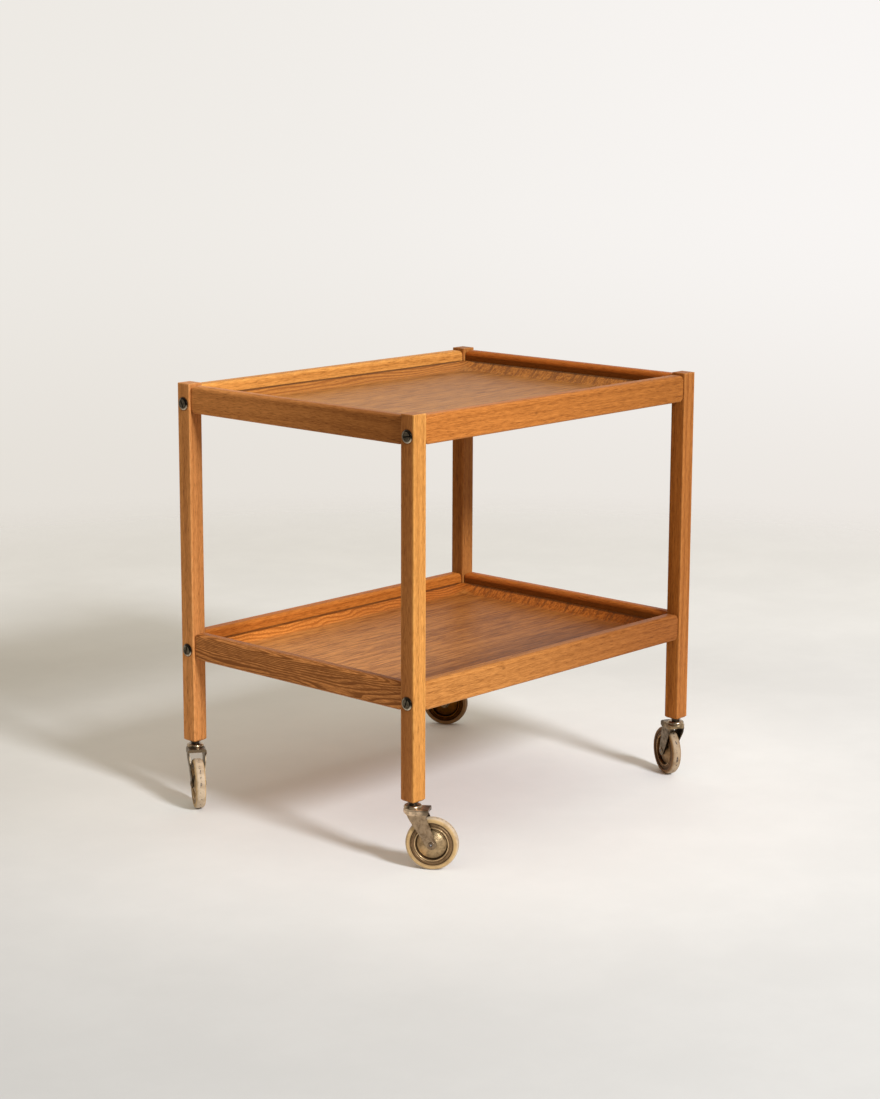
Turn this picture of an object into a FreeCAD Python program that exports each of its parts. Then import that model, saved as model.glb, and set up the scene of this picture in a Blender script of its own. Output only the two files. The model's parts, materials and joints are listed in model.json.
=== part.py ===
import FreeCAD, Part
import math
import os

# Serving trolley: four legs, two levels of rails that hold a tray each, and four swivelling castors.
# Millimetres, +Z up, origin on the floor under the middle of the frame, +X along the long side.
# Front is -Y and left is -X.

Vector = FreeCAD.Vector
up = Vector(0, 0, 1)

# Legs
frame_length = 632.0
frame_width = 481.0
leg_side = 25.0
leg_length = 549.0
leg_edge_round = 1.4
leg_top_bevel = 0.8
leg_foot_bevel = 2.5

# Rails: the upper ones stand below the leg's top, the lower ones above its foot
upper_rail_drop = 3.0
lower_rail_rise = 129.3
rail_height = 41.0
long_rail_thickness = 22.0
short_rail_thickness = 19.0
rail_top_round = 6.0
rail_base_round = 4.0
rail_corner_round = 9.0
rail_end_round = 3.0

# Trays of moulded plywood, whose tongue sits in the rails' grooves
ply_thickness = 5.0
tongue_depth = 4.0
tongue_top_rise = 24.5
groove_end_gap = 0.5
groove_top_gap = 0.2
rim_depth = 13.3
rim_slope_run = 15.0
rim_rail_gap = 0.3
rim_bend_round = 8.0
deck_corner_round = 38.0
tray_leg_gap = 1.5

# Bolts that draw the long rails against the legs, with a collar under the head and a barrel nut
bolt_radius = 3.0
bolt_rise = 13.5
bolt_hole_gap = 0.3
bolt_tip_length = 4.0
head_radius = 6.5
head_height = 2.0
head_bevel = 0.6
slot_width = 1.8
slot_depth = 1.2
collar_radius = 9.5
collar_height = 1.8
collar_bevel = 0.7
collar_recess = 0.8
collar_head_gap = 0.4
nut_radius = 5.0
nut_length = 10.0
nut_inset = 36.0
nut_gap = 0.1
thread_gap = 0.05

# Slot angles in degrees from level, by leg and level
slot_angles = {
    ("front_left", "upper"): 10.0,
    ("front_left", "lower"): 72.0,
    ("back_left", "upper"): 113.0,
    ("back_left", "lower"): 76.0,
    ("front_right", "upper"): 35.0,
    ("front_right", "lower"): 158.0,
    ("back_right", "upper"): 94.0,
    ("back_right", "lower"): 21.0,
}

# Dowels: a pair in each end of a short rail, and one beside each bolt in a long rail
rail_dowel_radius = 4.0
rail_dowel_rises = (12.0, 27.0)
rail_dowel_length = 20.0
pin_dowel_radius = 3.0
pin_dowel_rise = 27.0
pin_dowel_length = 14.0
dowel_leg_depth = 8.0
dowel_gap = 0.05
dowel_end_gap = 0.5

# Castor wheels: a tyre held between two pressed discs on a bush
wheel_radius = 38.0
tyre_width = 15.0
tyre_edge_round = 2.6
tyre_lip_round = 0.6
flange_face_inset = 0.4
flange_dish = 0.6
rim_radius = 31.0
seat_radius = 24.6
disc_sheet = 1.2
moat_width = 1.4
moat_depth = 4.0
boss_radius = 8.0
boss_rise = 0.5
wheel_part_gap = 0.1
bush_radius = 6.0
bush_side_gap = 0.3
axle_radius = 3.0
axle_fit = 0.05
axle_head_radius = 4.6
axle_head_height = 1.5

# Castor forks, pressed from sheet
trail = 27.5
fork_sheet = 2.0
wheel_side_gap = 1.2
crown_clearance = 11.5
crown_radius = 13.6
crown_bevel = 1.4
crown_reach = 24.0
crown_lip = 6.5
shoulder_flare = 3.2
shoulder_drop = 8.5
nose_drop = 5.5
cheek_front = 4.5
cheek_end_radius = 7.2
cheek_straight = 10.5

# Castor stems, ball races and sockets
stem_radius = 4.0
swivel_fit = 0.08
rivet_radius = 6.5
rivet_height = 3.0
rivet_gap = 0.3
ball_radius = 1.5
ball_gap = 0.1
ball_pitch_gap = 0.3
race_radius = 9.4
cap_radius = 13.0
cap_sheet = 1.2
cap_shoulder = 3.4
cap_floor_gap = 0.3
neck_radius = 6.3
neck_height = 3.9
stem_grip = 30.0
stem_point = 1.0
socket_sheet = 1.45
socket_length = 34.0
socket_fit = 0.05
flange_radius = 8.5
flange_height = 1.2

# Directions from stem to axle, in degrees about +Z from +X
trail_angles = {
    "front_left": -57.0,
    "front_right": 63.0,
    "back_left": -124.5,
    "back_right": 122.0,
}

# Heights from the floor up through the castor, and the rail levels on top of it
axle_z = wheel_radius
crown_floor_z = 2 * wheel_radius + crown_clearance
crown_top_z = crown_floor_z + fork_sheet
ball_z = crown_top_z + ball_gap + ball_radius
race_top_z = ball_z + ball_radius + ball_gap
cap_top_z = race_top_z + cap_sheet
neck_top_z = cap_top_z + neck_height
foot_z = neck_top_z + flange_height
upper_rail_rise = leg_length - upper_rail_drop - rail_height
levels = {"upper": foot_z + upper_rail_rise, "lower": foot_z + lower_rail_rise}

# Places in plan: leg axes, faces where rails meet legs, and inner faces of the rails
sides = {
    "front_left": (-1, -1),
    "front_right": (1, -1),
    "back_left": (-1, 1),
    "back_right": (1, 1),
}
leg_x = (frame_length - leg_side) / 2
leg_y = (frame_width - leg_side) / 2
joint_x = leg_x - leg_side / 2
joint_y = leg_y - leg_side / 2
inner_x = leg_x - short_rail_thickness / 2
inner_y = leg_y - long_rail_thickness / 2

# Tray rim: its sloped underside stays off the rail, and its tongue rounds past the leg's inner edge
slope = rim_depth / rim_slope_run
under_shift = ply_thickness * (math.hypot(1.0, slope) - 1.0) / slope
rim_lip = under_shift + rim_rail_gap
leg_stand_x = (leg_side - short_rail_thickness) / 2
leg_stand_y = (leg_side - long_rail_thickness) / 2
leg_stand = max(leg_stand_x, leg_stand_y)
diagonal = math.sqrt(2.0)
tongue_round = (tray_leg_gap + (tongue_depth + leg_stand) * diagonal) / (diagonal - 1.0)
tongue_start = tongue_round - tongue_depth
groove_start = tongue_start - math.sqrt(tongue_round ** 2 - tongue_start ** 2) - groove_end_gap
groove_depth = tongue_depth + groove_end_gap
groove_rise = tongue_top_rise - ply_thickness

# Bolts: the head sits in the collar, and the tip passes the nut
bolt_seat = collar_height - collar_recess
bolt_length = bolt_seat + leg_side + nut_inset + nut_radius + bolt_tip_length

# Fork half-widths follow the tyre
cheek_inner = tyre_width / 2 + wheel_side_gap
cheek_outer = cheek_inner + fork_sheet
shoulder_outer = cheek_outer + shoulder_flare


def cylinder(radius, start, direction, length):
    return Part.makeCylinder(radius, length, Vector(*start), Vector(*direction))


def box(low, high):
    size = Vector(*high) - Vector(*low)
    return Part.makeBox(size.x, size.y, size.z, Vector(*low))


def outline(points):
    # Points are (x, y, z); one marked as an arc's middle joins its neighbours with an arc
    edges = []
    spots = points + [points[0]]
    index = 0
    while index < len(spots) - 1:
        start = Vector(*spots[index][:3])
        ahead = spots[index + 1]
        if len(ahead) == 4:
            end = Vector(*spots[index + 2][:3])
            edges.append(Part.Arc(start, Vector(*ahead[:3]), end).toShape())
            index += 2
        else:
            edges.append(Part.LineSegment(start, Vector(*ahead)).toShape())
            index += 1
    return Part.Wire(edges)


def arc_middle(center, radius, degrees):
    # A point on a circle in the XZ plane, marked as an arc's middle
    turn = math.radians(degrees)
    return (center[0] + radius * math.cos(turn), 0, center[1] + radius * math.sin(turn), "arc")


def turned(points):
    # A solid of revolution about Z from an outline in the XZ plane
    return Part.Face(outline(points)).revolve(Vector(0, 0, 0), up, 360)


def rounded_rectangle(length, width, radius, height):
    half_x = length / 2 - radius
    half_y = width / 2 - radius
    bulge = radius * math.sqrt(0.5)
    points = []
    for side_x, side_y in ((1, 1), (-1, 1), (-1, -1), (1, -1)):
        across = (side_x * (half_x + radius), side_y * half_y, height)
        along = (side_x * half_x, side_y * (half_y + radius), height)
        middle = (side_x * (half_x + bulge), side_y * (half_y + bulge), height, "arc")
        ordered = [across, middle, along] if side_x * side_y > 0 else [along, middle, across]
        points.extend(ordered)
    return outline(points)


def save(name, shape):
    shape.exportStep("parts/%s.step" % name)


# Fastenings between legs and rails, at a leg's sides and a rail level; each is also its own hole's tool

def pin_dowel(side_x, side_y, level, gap=0.0, end_gap=0.0):
    start = (side_x * (joint_x + dowel_leg_depth + end_gap), side_y * leg_y, level + pin_dowel_rise)
    length = dowel_leg_depth + pin_dowel_length + 2 * end_gap
    return cylinder(pin_dowel_radius + gap, start, (-side_x, 0, 0), length)


def rail_dowel(side_x, side_y, level, rise, gap=0.0, end_gap=0.0):
    start = (side_x * leg_x, side_y * (joint_y + dowel_leg_depth + end_gap), level + rise)
    length = dowel_leg_depth + rail_dowel_length + 2 * end_gap
    return cylinder(rail_dowel_radius + gap, start, (0, -side_y, 0), length)


def bolt_hole(side_x, side_y, level):
    start = (side_x * frame_length / 2, side_y * leg_y, level + bolt_rise)
    return cylinder(bolt_radius + bolt_hole_gap, start, (-side_x, 0, 0), bolt_length)


def nut_hole(side_x, side_y, level):
    start = (side_x * (joint_x - nut_inset), side_y * leg_y, level)
    depth = bolt_rise + nut_length / 2 + nut_gap
    return cylinder(nut_radius + nut_gap, start, up, depth)


def through_leg(shape, side_x, side_y, level):
    # Turns +Z into the leg's outer end face, at a bolt's place
    shape.rotate(Vector(0, 0, 0), Vector(0, 1, 0), -90 * side_x)
    shape.translate(Vector(side_x * frame_length / 2, side_y * leg_y, level + bolt_rise))
    return shape


def bolt(side_x, side_y, level, slot_angle):
    top = -bolt_seat - head_height
    shank_end = bolt_length - bolt_seat
    stick = turned([
        (0, 0, top),
        (head_radius - head_bevel, 0, top),
        (head_radius, 0, top + head_bevel),
        (head_radius, 0, -bolt_seat),
        (bolt_radius, 0, -bolt_seat),
        (bolt_radius, 0, shank_end),
        (0, 0, shank_end),
    ])
    reach = 2 * head_radius
    slot = box((-slot_width / 2, -reach, top - slot_depth), (slot_width / 2, reach, top + slot_depth))
    slot.rotate(Vector(0, 0, 0), up, -slot_angle)
    return through_leg(stick.cut(slot), side_x, side_y, level)


def collar(side_x, side_y, level):
    recess = head_radius + collar_head_gap
    bore = bolt_radius + bolt_hole_gap
    ring = turned([
        (bore, 0, 0),
        (collar_radius, 0, 0),
        (collar_radius, 0, collar_bevel - collar_height),
        (collar_radius - collar_bevel, 0, -collar_height),
        (recess, 0, -collar_height),
        (recess, 0, -bolt_seat),
        (bore, 0, -bolt_seat),
    ])
    return through_leg(ring, side_x, side_y, level)


def barrel_nut(side_x, side_y, level):
    middle_z = level + bolt_rise
    spot_x = side_x * (joint_x - nut_inset)
    barrel = cylinder(nut_radius, (spot_x, side_y * leg_y, middle_z - nut_length / 2), up, nut_length)
    start = (spot_x - 2 * nut_radius, side_y * leg_y, middle_z)
    return barrel.cut(cylinder(bolt_radius + thread_gap, start, (1, 0, 0), 4 * nut_radius))


# Legs: square posts with eased edges, drilled for the fastenings and the castor's socket

def leg(side_x, side_y):
    post = Part.Face(rounded_rectangle(leg_side, leg_side, leg_edge_round, 0)).extrude(up * leg_length)
    sections = []
    for height, bevel in (
        (0, leg_foot_bevel),
        (leg_foot_bevel, 0),
        (leg_length - leg_top_bevel, 0),
        (leg_length, leg_top_bevel),
    ):
        half = leg_side / 2 - bevel
        sections.append(outline([(half, half, height), (-half, half, height), (-half, -half, height),
                                 (half, -half, height)]))
    post = post.common(Part.makeLoft(sections, True, True))
    post.translate(Vector(side_x * leg_x, side_y * leg_y, foot_z))
    bore = stem_radius + socket_fit + socket_sheet + socket_fit
    cuts = [cylinder(bore, (side_x * leg_x, side_y * leg_y, foot_z), up, socket_length + dowel_end_gap)]
    for level in levels.values():
        cuts.append(bolt_hole(side_x, side_y, level))
        cuts.append(pin_dowel(side_x, side_y, level, dowel_gap, dowel_end_gap))
        for rise in rail_dowel_rises:
            cuts.append(rail_dowel(side_x, side_y, level, rise, dowel_gap, dowel_end_gap))
    return post.cut(cuts)


# Rails: rounded all over, with a stopped groove in the inner side, which is +Y before placing

def rail_blank(length, thickness, groove_stop):
    side = Part.Face(rounded_rectangle(length, rail_height, rail_corner_round, 0))
    bar = side.extrude(up * thickness)
    rims = []
    for edge in bar.Edges:
        if edge.BoundBox.ZLength < thickness / 2:
            rims.append(edge)
    bar = bar.makeFillet(rail_end_round, rims)
    bar.rotate(Vector(0, 0, 0), Vector(1, 0, 0), 90)
    bar.translate(Vector(0, thickness / 2, rail_height / 2))
    half = thickness / 2
    top = rail_height - rail_top_round
    top_bulge = rail_top_round * math.sqrt(0.5)
    base_bulge = rail_base_round * math.sqrt(0.5)
    section = outline([
        (-length, half, rail_base_round),
        (-length, half, top),
        (-length, half - rail_top_round + top_bulge, top + top_bulge, "arc"),
        (-length, half - rail_top_round, rail_height),
        (-length, rail_top_round - half, rail_height),
        (-length, rail_top_round - half - top_bulge, top + top_bulge, "arc"),
        (-length, -half, top),
        (-length, -half, rail_base_round),
        (-length, rail_base_round - half - base_bulge, rail_base_round - base_bulge, "arc"),
        (-length, rail_base_round - half, 0),
        (-length, half - rail_base_round, 0),
        (-length, half - rail_base_round + base_bulge, rail_base_round - base_bulge, "arc"),
    ])
    bar = bar.common(Part.Face(section).extrude(Vector(2 * length, 0, 0)))
    reach = length / 2 - groove_stop
    low = (-reach, half - groove_depth, groove_rise)
    high = (reach, thickness, tongue_top_rise + groove_top_gap)
    return bar.cut(box(low, high))


def long_rail(side_y, level):
    bar = rail_blank(2 * joint_x, long_rail_thickness, groove_start - leg_stand_x)
    bar.rotate(Vector(0, 0, 0), up, 0 if side_y < 0 else 180)
    bar.translate(Vector(0, side_y * leg_y, level))
    cuts = []
    for side_x in (-1, 1):
        cuts.append(bolt_hole(side_x, side_y, level))
        cuts.append(nut_hole(side_x, side_y, level))
        cuts.append(pin_dowel(side_x, side_y, level, dowel_gap, dowel_end_gap))
    return bar.cut(cuts)


def short_rail(side_x, level):
    bar = rail_blank(2 * joint_y, short_rail_thickness, groove_start - leg_stand_y)
    bar.rotate(Vector(0, 0, 0), up, 90 * side_x)
    bar.translate(Vector(side_x * leg_x, 0, level))
    cuts = []
    for side_y in (-1, 1):
        for rise in rail_dowel_rises:
            cuts.append(rail_dowel(side_x, side_y, level, rise, dowel_gap, dowel_end_gap))
    return bar.cut(cuts)


# Trays: a tongue all round, a sloped rim with rounded corners and a flat deck

def tray(level):
    top = level + tongue_top_rise

    def ring(inset, radius, height):
        return rounded_rectangle(2 * (inner_x - inset), 2 * (inner_y - inset), radius, height)

    lip_round = tongue_start - rim_lip
    deck_inset = rim_lip + rim_slope_run
    deck_z = top - rim_depth
    floor_z = deck_z - ply_thickness
    plate = Part.Face(ring(-tongue_depth, tongue_round, top)).extrude(up * -ply_thickness)
    dish = Part.makeLoft([
        ring(rim_lip - under_shift, lip_round + under_shift, top - ply_thickness),
        ring(deck_inset - under_shift, deck_corner_round + under_shift, floor_z),
    ], True, True)
    well = Part.makeLoft([
        ring(rim_lip, lip_round, top),
        ring(deck_inset, deck_corner_round, deck_z),
    ], True, True)
    shell = plate.fuse(dish).cut(well)
    for height, radius in ((deck_z, rim_bend_round), (floor_z, rim_bend_round + ply_thickness)):
        bends = []
        for edge in shell.Edges:
            if abs(edge.BoundBox.ZMin - height) + abs(edge.BoundBox.ZMax - height) < 0.001:
                bends.append(edge)
        shell = shell.makeFillet(radius, bends)
    return shell


# Castors, made about a stem on Z with the trail along +X, then turned and moved under a leg

def socket():
    bore = stem_radius + socket_fit
    top = foot_z + socket_length
    return turned([
        (bore, 0, neck_top_z),
        (flange_radius, 0, neck_top_z),
        (flange_radius, 0, foot_z),
        (bore + socket_sheet, 0, foot_z),
        (bore + socket_sheet, 0, top),
        (bore, 0, top),
    ])


def stem():
    rivet_top = crown_floor_z - rivet_gap
    rivet_floor = rivet_top - rivet_height
    crown = (rivet_radius ** 2 + rivet_height ** 2) / (2 * rivet_height)
    lean = math.degrees(math.asin(rivet_radius / crown)) / 2
    top = foot_z + stem_grip
    return turned([
        (0, 0, rivet_floor),
        arc_middle((0, rivet_floor + crown), crown, lean - 90),
        (rivet_radius, 0, rivet_top),
        (stem_radius, 0, rivet_top),
        (stem_radius, 0, cap_top_z),
        (neck_radius, 0, cap_top_z),
        (neck_radius, 0, neck_top_z),
        (stem_radius, 0, neck_top_z),
        (stem_radius, 0, top - stem_point),
        (stem_radius - stem_point, 0, top),
        (0, 0, top),
    ])


def race_cap():
    bore = stem_radius + socket_fit
    floor = crown_top_z + cap_floor_gap
    inner = cap_radius - cap_sheet
    bend = cap_shoulder - cap_sheet
    shoulder = (cap_radius - cap_shoulder, cap_top_z - cap_shoulder)
    return turned([
        (bore, 0, race_top_z),
        (shoulder[0], 0, race_top_z),
        arc_middle(shoulder, bend, 45),
        (inner, 0, shoulder[1]),
        (inner, 0, floor),
        (cap_radius, 0, floor),
        (cap_radius, 0, shoulder[1]),
        arc_middle(shoulder, cap_shoulder, 45),
        (shoulder[0], 0, cap_top_z),
        (bore, 0, cap_top_z),
    ])


def bearing_balls():
    count = int(2 * math.pi * race_radius / (2 * ball_radius + ball_pitch_gap))
    balls = []
    for number in range(count):
        turn = 2 * math.pi * number / count
        spot = Vector(race_radius * math.cos(turn), race_radius * math.sin(turn), ball_z)
        balls.append(Part.makeSphere(ball_radius, spot))
    return Part.makeCompound(balls)


def fork_plan(half, nose, back, height):
    return outline([(back, half, height), (0, half, height), (-nose, 0, height, "arc"), (0, -half, height),
                    (back, -half, height)])


def fork_hull(shrink, top, bevel, back):
    # The fork's outside, or its inside shrunk by the sheet: shoulders that close in to straight cheeks
    half = cheek_outer - shrink
    straight_z = axle_z + cheek_straight
    shoulder_z = crown_top_z - shoulder_drop
    crown = crown_radius - shrink
    return Part.makeLoft([
        fork_plan(half, half, back, 0),
        fork_plan(half, half, back, straight_z),
        fork_plan(shoulder_outer - shrink, crown, back, shoulder_z),
        fork_plan(crown, crown, back, top - bevel),
        fork_plan(crown - bevel, crown - bevel, back, top),
    ], True, True)


def tangent_point(spot, center, radius, side):
    # Where a line from a spot touches a circle; side picks which of the two tangents
    away_x = spot[0] - center[0]
    away_z = spot[1] - center[1]
    turn = math.atan2(away_z, away_x) + side * math.acos(radius / math.hypot(away_x, away_z))
    return (center[0] + radius * math.cos(turn), 0, center[1] + radius * math.sin(turn))


def fork():
    axle = (trail, axle_z)
    shoulder_z = crown_top_z - shoulder_drop
    front = (-cheek_front, shoulder_z)
    back = (crown_reach, shoulder_z)
    side = outline([
        (-2 * crown_radius, 0, crown_top_z + fork_sheet),
        (-2 * crown_radius, 0, crown_top_z - nose_drop),
        (-crown_radius, 0, crown_top_z - nose_drop),
        (front[0], 0, front[1]),
        tangent_point(front, axle, cheek_end_radius, 1),
        arc_middle(axle, cheek_end_radius, -90),
        tangent_point(back, axle, cheek_end_radius, -1),
        (back[0], 0, back[1]),
        (crown_reach, 0, crown_top_z + fork_sheet),
    ])
    side.translate(Vector(0, 2 * shoulder_outer, 0))
    profile = Part.Face(side).extrude(Vector(0, -4 * shoulder_outer, 0))
    far_back = 2 * crown_reach + trail
    shell = fork_hull(0, crown_top_z, crown_bevel, far_back)
    hollow = fork_hull(fork_sheet, crown_floor_z, crown_bevel, 2 * far_back)
    lip = shell.common(box((crown_reach - fork_sheet, -2 * shoulder_outer, crown_top_z - crown_lip),
                           (crown_reach, 2 * shoulder_outer, crown_top_z)))
    yoke = shell.cut(hollow).common(profile).fuse(lip)
    stem_hole = cylinder(stem_radius + swivel_fit, (0, 0, 0), up, 2 * crown_top_z)
    start = (trail, -2 * shoulder_outer, axle_z)
    axle_hole = cylinder(axle_radius + axle_fit, start, (0, 1, 0), 4 * shoulder_outer)
    return yoke.cut([stem_hole, axle_hole]).removeSplitter()


def on_axle(shape, flip=False):
    # Turns +Z into the axle's +Y or -Y end
    shape.rotate(Vector(0, 0, 0), Vector(1, 0, 0), 90 if flip else -90)
    shape.translate(Vector(trail, 0, axle_z))
    return shape


def axle():
    head = cheek_outer + axle_head_height
    return on_axle(turned([
        (0, 0, -head),
        (axle_head_radius, 0, -head),
        (axle_head_radius, 0, -cheek_outer),
        (axle_radius, 0, -cheek_outer),
        (axle_radius, 0, cheek_outer),
        (axle_head_radius, 0, cheek_outer),
        (axle_head_radius, 0, head),
        (0, 0, head),
    ]))


def bush():
    half = cheek_inner - bush_side_gap
    return on_axle(turned([
        (axle_radius + axle_fit, 0, -half),
        (bush_radius, 0, -half),
        (bush_radius, 0, half),
        (axle_radius + axle_fit, 0, half),
    ]))


def hub_disc(flip):
    # A pressed disc: boss, cone, moat, then the flange that holds the tyre
    bore = bush_radius + wheel_part_gap
    face = tyre_width / 2 - flange_face_inset
    boss_face = face + boss_rise
    moat_floor = face - moat_depth
    moat_outer = seat_radius - disc_sheet
    cone_end = moat_outer - moat_width
    return on_axle(turned([
        (bore, 0, boss_face),
        (boss_radius, 0, boss_face),
        (cone_end, 0, moat_floor),
        (moat_outer, 0, moat_floor),
        (moat_outer, 0, face),
        (rim_radius, 0, face - flange_dish),
        (rim_radius, 0, face - flange_dish - disc_sheet),
        (seat_radius, 0, face - disc_sheet),
        (seat_radius, 0, moat_floor - disc_sheet),
        (cone_end, 0, moat_floor - disc_sheet),
        (boss_radius, 0, boss_face - disc_sheet),
        (bore, 0, boss_face - disc_sheet),
    ]), flip)


def tyre():
    half = tyre_width / 2
    inside = rim_radius + wheel_part_gap
    seat = seat_radius + wheel_part_gap
    bead = half - flange_face_inset - flange_dish - disc_sheet - wheel_part_gap
    tread = wheel_radius - tyre_edge_round
    shoulder = half - tyre_edge_round
    lip = half - tyre_lip_round
    lip_top = inside + tyre_lip_round
    return on_axle(turned([
        (seat, 0, bead),
        (inside, 0, bead),
        (inside, 0, lip),
        arc_middle((lip_top, lip), tyre_lip_round, 135),
        (lip_top, 0, half),
        (tread, 0, half),
        arc_middle((tread, shoulder), tyre_edge_round, 45),
        (wheel_radius, 0, shoulder),
        (wheel_radius, 0, -shoulder),
        arc_middle((tread, -shoulder), tyre_edge_round, -45),
        (tread, 0, -half),
        (lip_top, 0, -half),
        arc_middle((lip_top, -lip), tyre_lip_round, -135),
        (inside, 0, -lip),
        (inside, 0, -bead),
        (seat, 0, -bead),
    ]))


def under_leg(shape, corner):
    side_x, side_y = sides[corner]
    shape.rotate(Vector(0, 0, 0), up, trail_angles[corner])
    shape.translate(Vector(side_x * leg_x, side_y * leg_y, 0))
    return shape


os.makedirs("parts", exist_ok=True)

for corner, (side_x, side_y) in sides.items():
    save("leg_%s" % corner, leg(side_x, side_y))

for tier, level in levels.items():
    save("%s_rail_front" % tier, long_rail(-1, level))
    save("%s_rail_back" % tier, long_rail(1, level))
    save("%s_rail_left" % tier, short_rail(-1, level))
    save("%s_rail_right" % tier, short_rail(1, level))
    save("%s_tray" % tier, tray(level))

fastenings = {"connector_bolts": [], "bolt_collars": [], "barrel_nuts": [], "pin_dowels": [], "rail_dowels": []}
for corner, (side_x, side_y) in sides.items():
    for tier, level in levels.items():
        fastenings["connector_bolts"].append(bolt(side_x, side_y, level, slot_angles[corner, tier]))
        fastenings["bolt_collars"].append(collar(side_x, side_y, level))
        fastenings["barrel_nuts"].append(barrel_nut(side_x, side_y, level))
        fastenings["pin_dowels"].append(pin_dowel(side_x, side_y, level))
        for rise in rail_dowel_rises:
            fastenings["rail_dowels"].append(rail_dowel(side_x, side_y, level, rise))
for name, pieces in fastenings.items():
    save(name, Part.makeCompound(pieces))

castor_pieces = {
    "socket": socket(),
    "stem": stem(),
    "race_cap": race_cap(),
    "bearing_balls": bearing_balls(),
    "fork": fork(),
    "axle": axle(),
    "wheel_bush": bush(),
    "hub_disc_left": hub_disc(False),
    "hub_disc_right": hub_disc(True),
    "tyre": tyre(),
}
for corner in sides:
    for name, piece in castor_pieces.items():
        save("castor_%s_%s" % (corner, name), under_leg(piece.copy(), corner))
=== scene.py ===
import json
import math

import bpy
import numpy as np
from mathutils import Matrix, Vector


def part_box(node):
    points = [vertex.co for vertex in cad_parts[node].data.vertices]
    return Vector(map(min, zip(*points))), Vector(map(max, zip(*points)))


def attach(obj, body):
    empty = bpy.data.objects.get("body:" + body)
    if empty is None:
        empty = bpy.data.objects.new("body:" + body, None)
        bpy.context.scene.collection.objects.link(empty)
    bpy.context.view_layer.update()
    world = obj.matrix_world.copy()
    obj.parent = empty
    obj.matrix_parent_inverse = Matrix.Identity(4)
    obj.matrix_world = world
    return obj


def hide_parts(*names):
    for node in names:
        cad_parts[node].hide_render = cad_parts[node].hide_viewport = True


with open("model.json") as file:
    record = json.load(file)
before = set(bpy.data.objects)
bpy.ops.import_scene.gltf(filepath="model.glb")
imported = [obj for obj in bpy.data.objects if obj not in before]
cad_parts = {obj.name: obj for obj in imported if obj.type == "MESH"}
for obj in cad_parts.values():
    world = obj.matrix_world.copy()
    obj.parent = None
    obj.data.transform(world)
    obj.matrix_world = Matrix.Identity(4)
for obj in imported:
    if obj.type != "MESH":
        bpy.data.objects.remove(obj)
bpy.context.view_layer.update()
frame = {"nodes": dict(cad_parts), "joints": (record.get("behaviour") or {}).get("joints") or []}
nodes = frame["nodes"]
joints = {joint["name"]: joint for joint in frame["joints"]}
corners = ("front_left", "front_right", "back_left", "back_right")
scene = bpy.context.scene
scene.view_settings.view_transform = "Standard"
print("frame loaded:", len(nodes), "nodes")


# small helpers for node trees

def fill(tree, socket, value):
    if isinstance(value, bpy.types.NodeSocket):
        tree.links.new(value, socket)
    else:
        socket.default_value = value


def put(tree, kind, inputs=(), **settings):
    made = tree.nodes.new("ShaderNode" + kind)
    for name, value in settings.items():
        setattr(made, name, value)
    for name, value in dict(inputs).items():
        fill(tree, made.inputs[name], value)
    return made


def calc(tree, operation, *values):
    made = put(tree, "Math", operation=operation)
    for socket, value in zip(made.inputs, values):
        fill(tree, socket, value)
    return made.outputs[0]


def vector(tree, operation, *values):
    made = put(tree, "VectorMath", operation=operation)
    for socket, value in zip(made.inputs, values):
        fill(tree, socket, value)
    return made.outputs[1] if operation in ("DOT_PRODUCT", "LENGTH") else made.outputs[0]


def mixed(tree, factor, low, high, blend="MIX"):
    made = put(tree, "Mix", data_type="RGBA", blend_type=blend)
    for index, value in ((0, factor), (6, low), (7, high)):
        fill(tree, made.inputs[index], value)
    return made.outputs[2]


def spread(tree, value, low, high, toLow=0.0, toHigh=1.0):
    ends = {"Value": value, "From Min": low, "From Max": high, "To Min": toLow, "To Max": toHigh}
    return put(tree, "MapRange", ends, interpolation_type="SMOOTHSTEP").outputs[0]


def grey(tree, value):
    return put(tree, "CombineColor", {0: value, 1: value, 2: value}).outputs[0]


def noise(tree, place, scale, detail=2.0, roughness=0.5):
    made = put(tree, "TexNoise", {"Vector": place, "Scale": scale, "Detail": detail, "Roughness": roughness})
    return made.outputs[0]


def newGroup(name, inputs, outputs):
    group = bpy.data.node_groups.new(name, "ShaderNodeTree")
    for label, kind in inputs:
        group.interface.new_socket(name=label, in_out="INPUT", socket_type="NodeSocket" + kind)
    for label, kind in outputs:
        group.interface.new_socket(name=label, in_out="OUTPUT", socket_type="NodeSocket" + kind)
    return group, group.nodes.new("NodeGroupInput").outputs, group.nodes.new("NodeGroupOutput").inputs


def useGroup(tree, group, inputs):
    made = put(tree, "Group", node_tree=group)
    for name, value in inputs.items():
        fill(tree, made.inputs[name], value)
    return made.outputs


def newMaterial(name, **plain):
    # a material with its shader; plain values sit on the shader's own sockets
    material = bpy.data.materials.new(name)
    material.use_nodes = True
    tree = material.node_tree
    shader = next(n for n in tree.nodes if n.type == "BSDF_PRINCIPLED")
    for label, value in plain.items():
        shader.inputs[label.replace("_", " ")].default_value = value
    return material, tree, shader


def wear(material, piece):
    piece.data.materials.clear()
    piece.data.materials.append(material)


def rgb(r, g, b):
    return (r, g, b, 1.0)


def connect(tree, shader, colour, roughness, height, depth, strength):
    # joins a finished colour, roughness and relief to the shader
    tree.links.new(colour, shader.inputs["Base Color"])
    tree.links.new(roughness, shader.inputs["Roughness"])
    bump = put(tree, "Bump", {"Height": height, "Distance": depth, "Strength": strength})
    tree.links.new(bump.outputs[0], shader.inputs["Normal"])


# camera, solved from the photo's edges

photoView = {"place": (-2.7551, -2.52625, 1.1422), "yaw": 42.525, "pitch": 11.491, "roll": 0.196, "lens": 81.554}


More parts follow.
